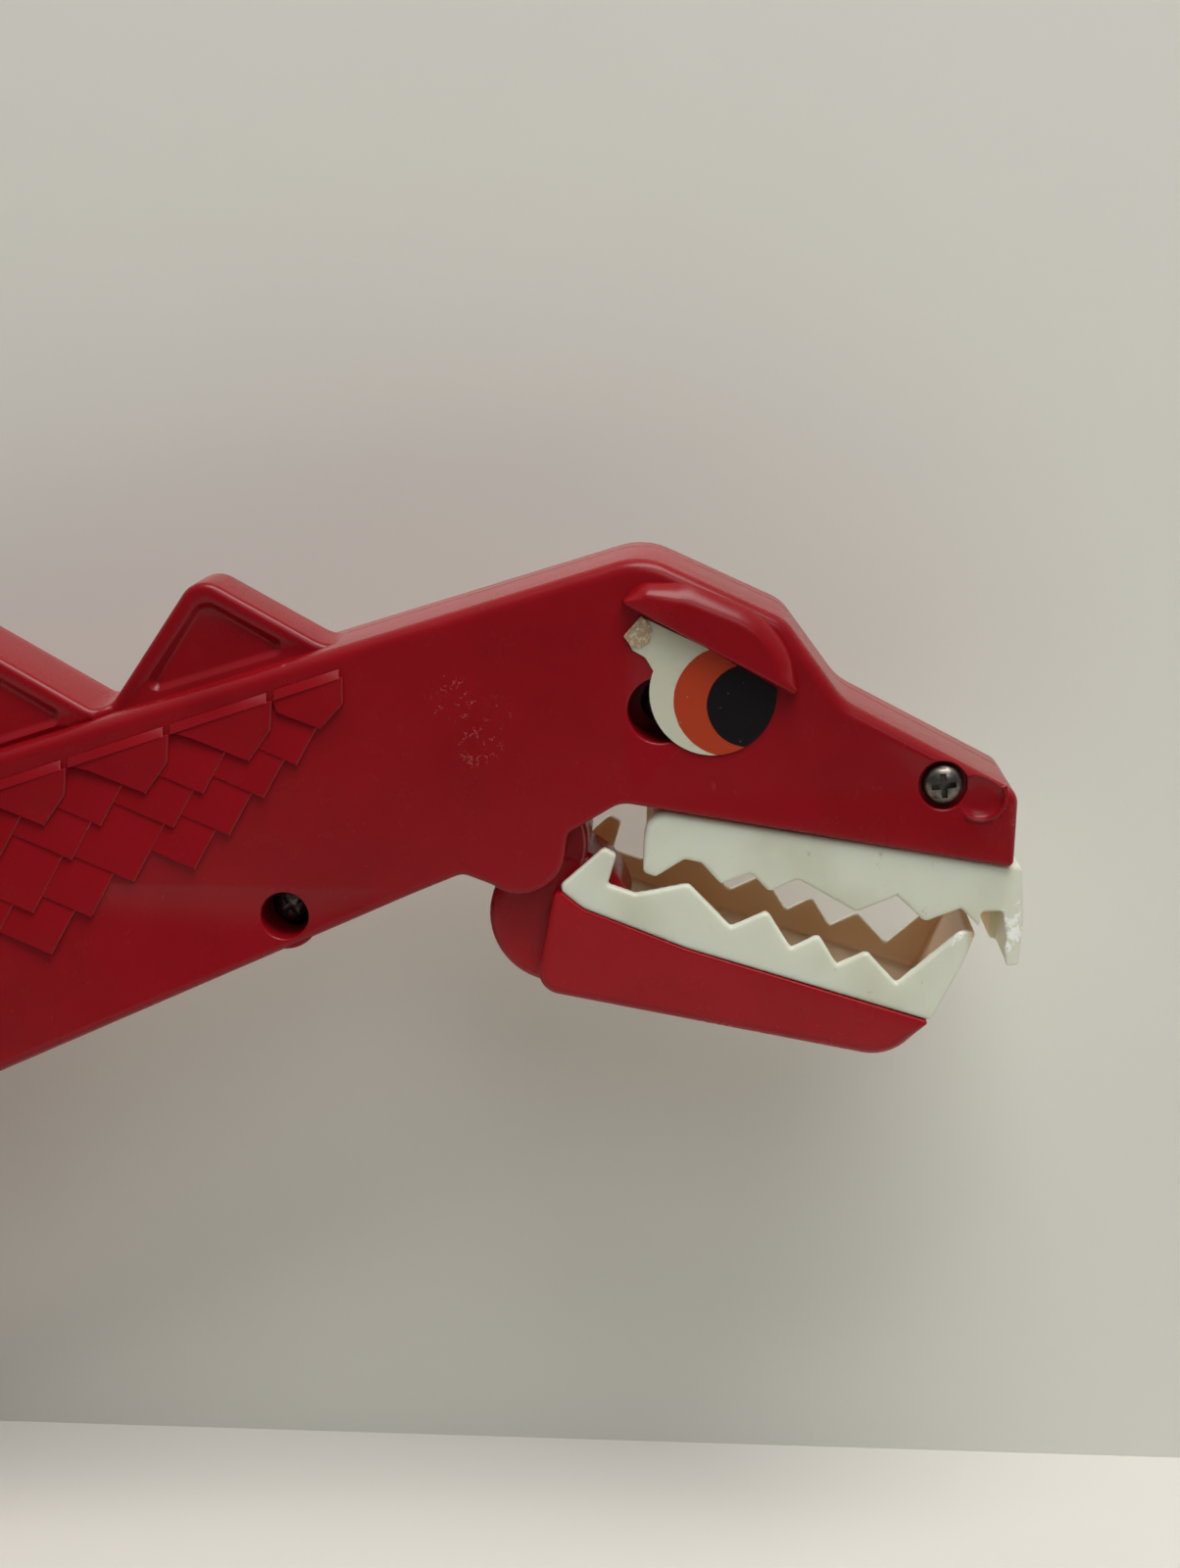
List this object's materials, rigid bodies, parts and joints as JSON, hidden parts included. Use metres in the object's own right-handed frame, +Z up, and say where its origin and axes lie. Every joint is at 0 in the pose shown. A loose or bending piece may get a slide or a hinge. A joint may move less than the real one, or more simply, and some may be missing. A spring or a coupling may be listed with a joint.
{
  "type": "toy grabber",
  "caption": "Hand-held snapping toy shaped as a dragon: a trigger at the grip drives a rod along the neck that opens the toothed lower jaw against a spring.",
  "frame": {"origin": "middle of the overall box, on the level that the foot of the grip stands on", "axes": "+X towards the snout, +Z up, -Y towards the dragon's right side, which holds the screw wells"},
  "size_m": [0.307, 0.0284, 0.1602],
  "materials": {
    "red_plastic": "moulded, semi-gloss, scuffed",
    "white_plastic": "moulded, semi-gloss",
    "rod_plastic": "moulded, matte",
    "pin_steel": "drawn wire",
    "screw_steel": "dulled plating",
    "sticker_paper": "printed paper, satin varnish"
  },
  "bodies": {
    "case": {"right_shell": "red_plastic", "left_shell": "red_plastic", "upper_teeth": "white_plastic", "jaw_pivot_pin": "pin_steel", "trigger_pivot_pin": "pin_steel", "return_spring": "pin_steel", "case_screws": "screw_steel", "right_eye_sticker": "sticker_paper", "left_eye_sticker": "sticker_paper"},
    "trigger": {"trigger": "red_plastic", "rod_rear_pin": "pin_steel"},
    "rod": {"push_rod": "rod_plastic"},
    "jaw": {"lower_jaw": "red_plastic", "lower_teeth": "white_plastic", "rod_front_pin": "pin_steel"}
  },
  "joints": [
    {"name": "trigger_squeeze", "type": "hinge", "parent": "case", "child": "trigger", "pos_m": [-0.02355, 0, 0.084], "axis": [0, 1, 0], "range_deg": [-1.5, 28], "stiffness_Nm_per_rad": 0.15, "springref_deg": -2.29, "deforming": ["return_spring"]},
    {"name": "rod_swing", "type": "hinge", "parent": "trigger", "child": "rod", "pos_m": [-0.02728, 0, 0.09541], "axis": [0, 1, 0], "range_deg": [-28, 1.5]},
    {"name": "jaw_hinge", "type": "hinge", "parent": "case", "child": "jaw", "pos_m": [0.08045, 0, 0.118], "axis": [0, 1, 0], "range_deg": [-1.5, 28]}
  ],
  "couplings": [
    {"joint": "jaw_hinge", "follows": "trigger_squeeze", "ratio": 1},
    {"joint": "rod_swing", "follows": "trigger_squeeze", "ratio": -1}
  ]
}
